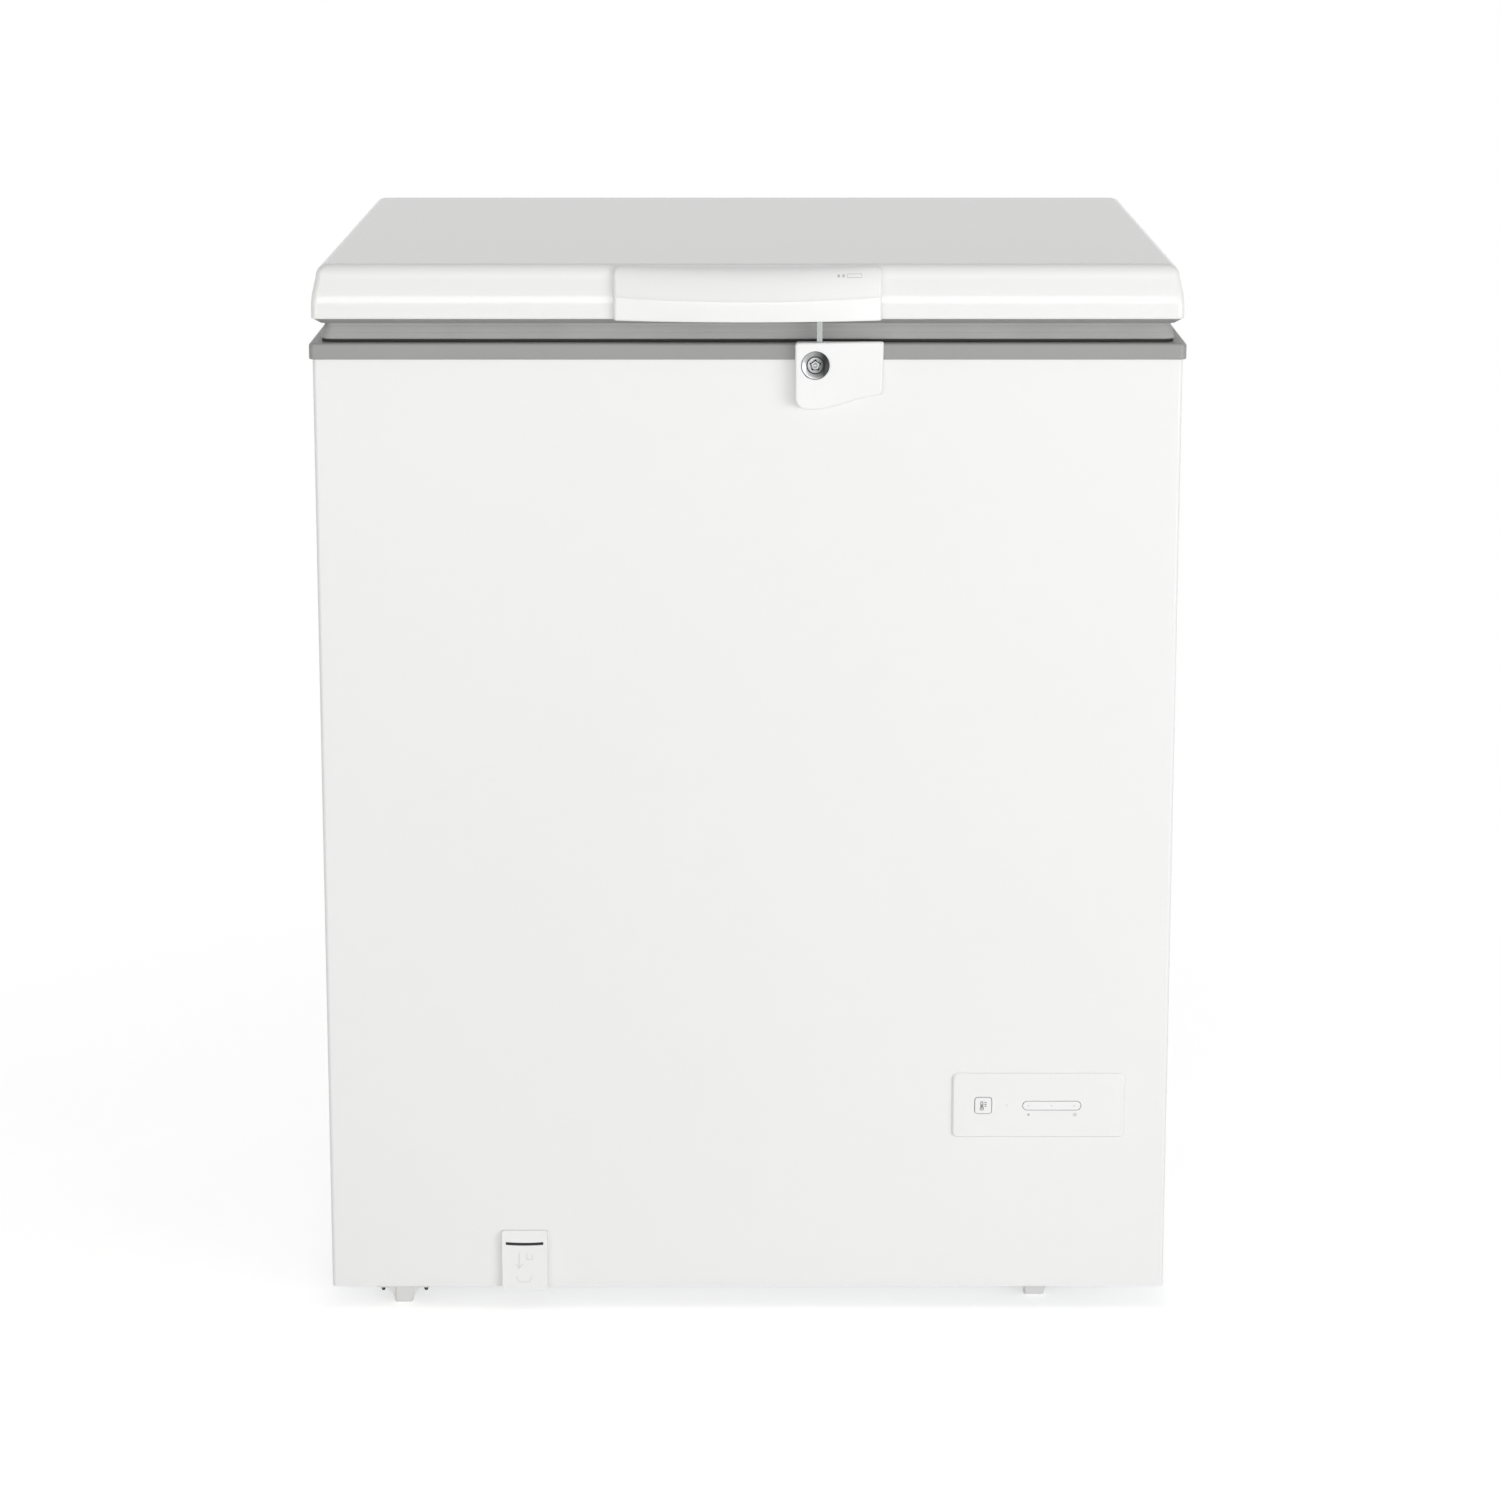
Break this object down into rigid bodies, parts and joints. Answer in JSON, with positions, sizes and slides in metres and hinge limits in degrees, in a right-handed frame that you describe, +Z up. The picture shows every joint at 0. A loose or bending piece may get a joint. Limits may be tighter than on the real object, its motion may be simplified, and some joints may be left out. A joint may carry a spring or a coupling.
{
  "type": "chest freezer",
  "caption": "Compact white chest freezer with a hinged lid, bowed grab handle, keyed hook lock, foil control panel, pull-out drain spout and a stepped inner tub over the compressor bay.",
  "frame": {"origin": "on the floor, in the middle of the overall width and depth", "axes": "+X to the right seen from the front, +Y to the back, +Z up"},
  "size_m": [0.761, 0.6568, 0.948],
  "materials": {
    "white_steel": "satin",
    "lid_white": "satin",
    "white_plastic": "satin",
    "grey_plastic": "satin",
    "gasket_rubber": "matte",
    "dark_rubber": "matte",
    "liner_metal": "satin",
    "zinc_steel": "satin",
    "dark_steel": "satin",
    "lock_chrome": "polished",
    "copper": "satin",
    "black_paint": "satin",
    "insulation_foam": "matte",
    "board_green": "satin",
    "lens_grey": "gloss"
  },
  "bodies": {
    "cabinet": {"cabinet_shell": "white_steel", "back_panel": "white_steel", "bottom_pan": "zinc_steel", "compressor_tray": "zinc_steel", "bay_bulkhead": "zinc_steel", "foam_insulation": "insulation_foam", "inner_liner": "liner_metal", "rim_frame": "grey_plastic", "evaporator_coil": "copper", "condenser_coil": "copper", "foot_front_left": "white_plastic", "foot_front_right": "white_plastic", "foot_rear_left": "white_plastic", "foot_rear_right": "white_plastic", "foot_screw_front_left_a": "dark_steel", "foot_screw_front_left_b": "dark_steel", "foot_screw_front_right_a": "dark_steel", "foot_screw_front_right_b": "dark_steel", "foot_screw_rear_left_a": "dark_steel", "foot_screw_rear_left_b": "dark_steel", "foot_screw_rear_right_a": "dark_steel", "foot_screw_rear_right_b": "dark_steel", "control_panel": "white_plastic", "control_board": "board_green", "indicator_lens": "lens_grey", "drain_tube": "white_plastic", "lock_housing": "white_plastic", "lock_bezel": "lock_chrome", "compressor": "black_paint", "compressor_grommet_a": "dark_rubber", "compressor_grommet_b": "dark_rubber", "compressor_grommet_c": "dark_rubber", "compressor_grommet_d": "dark_rubber", "terminal_cover": "dark_rubber", "filter_drier": "copper", "suction_pipe": "copper", "discharge_pipe": "copper", "vent_grille": "white_plastic", "compressor_cover": "zinc_steel", "cord_gland": "dark_rubber", "hinge_base_left": "zinc_steel", "hinge_base_right": "zinc_steel", "hinge_pin_left": "zinc_steel", "hinge_pin_right": "zinc_steel", "hinge_spring_left": "dark_steel", "hinge_spring_right": "dark_steel"},
    "lid": {"lid_shell": "lid_white", "lid_foam": "insulation_foam", "lid_inner_panel": "white_plastic", "lid_flange": "grey_plastic", "lid_gasket": "gasket_rubber", "lid_handle": "white_plastic", "lock_strike": "zinc_steel", "hinge_arm_left": "zinc_steel", "hinge_arm_right": "zinc_steel"},
    "lock": {"lock_barrel": "lock_chrome", "lock_hook": "zinc_steel"},
    "temperature_button": {"temperature_button": "white_plastic"},
    "drain_spout": {"drain_spout": "white_plastic"},
    "drain_plug": {"drain_plug": "gasket_rubber"}
  },
  "joints": [
    {"name": "lid_hinge", "type": "hinge", "parent": "cabinet", "child": "lid", "pos_m": [0, 0.31805, 0.89], "axis": [-1, 0, 0], "range_deg": [0, 80]},
    {"name": "lock_turn", "type": "hinge", "parent": "cabinet", "child": "lock", "pos_m": [0.0585, -0.30695, 0.8621], "axis": [0, 1, 0], "range_deg": [0, 15]},
    {"name": "button_press", "type": "slide", "parent": "cabinet", "child": "temperature_button", "axis": [0, 1, 0], "range_m": [0, 0.0012], "stiffness_N_per_m": 400},
    {"name": "drain_pull", "type": "slide", "parent": "cabinet", "child": "drain_spout", "axis": [0, -1, 0], "range_m": [0, 0.04]},
    {"name": "plug_lift", "type": "slide", "parent": "cabinet", "child": "drain_plug", "axis": [0, 0, 1], "range_m": [0, 0.08]}
  ]
}
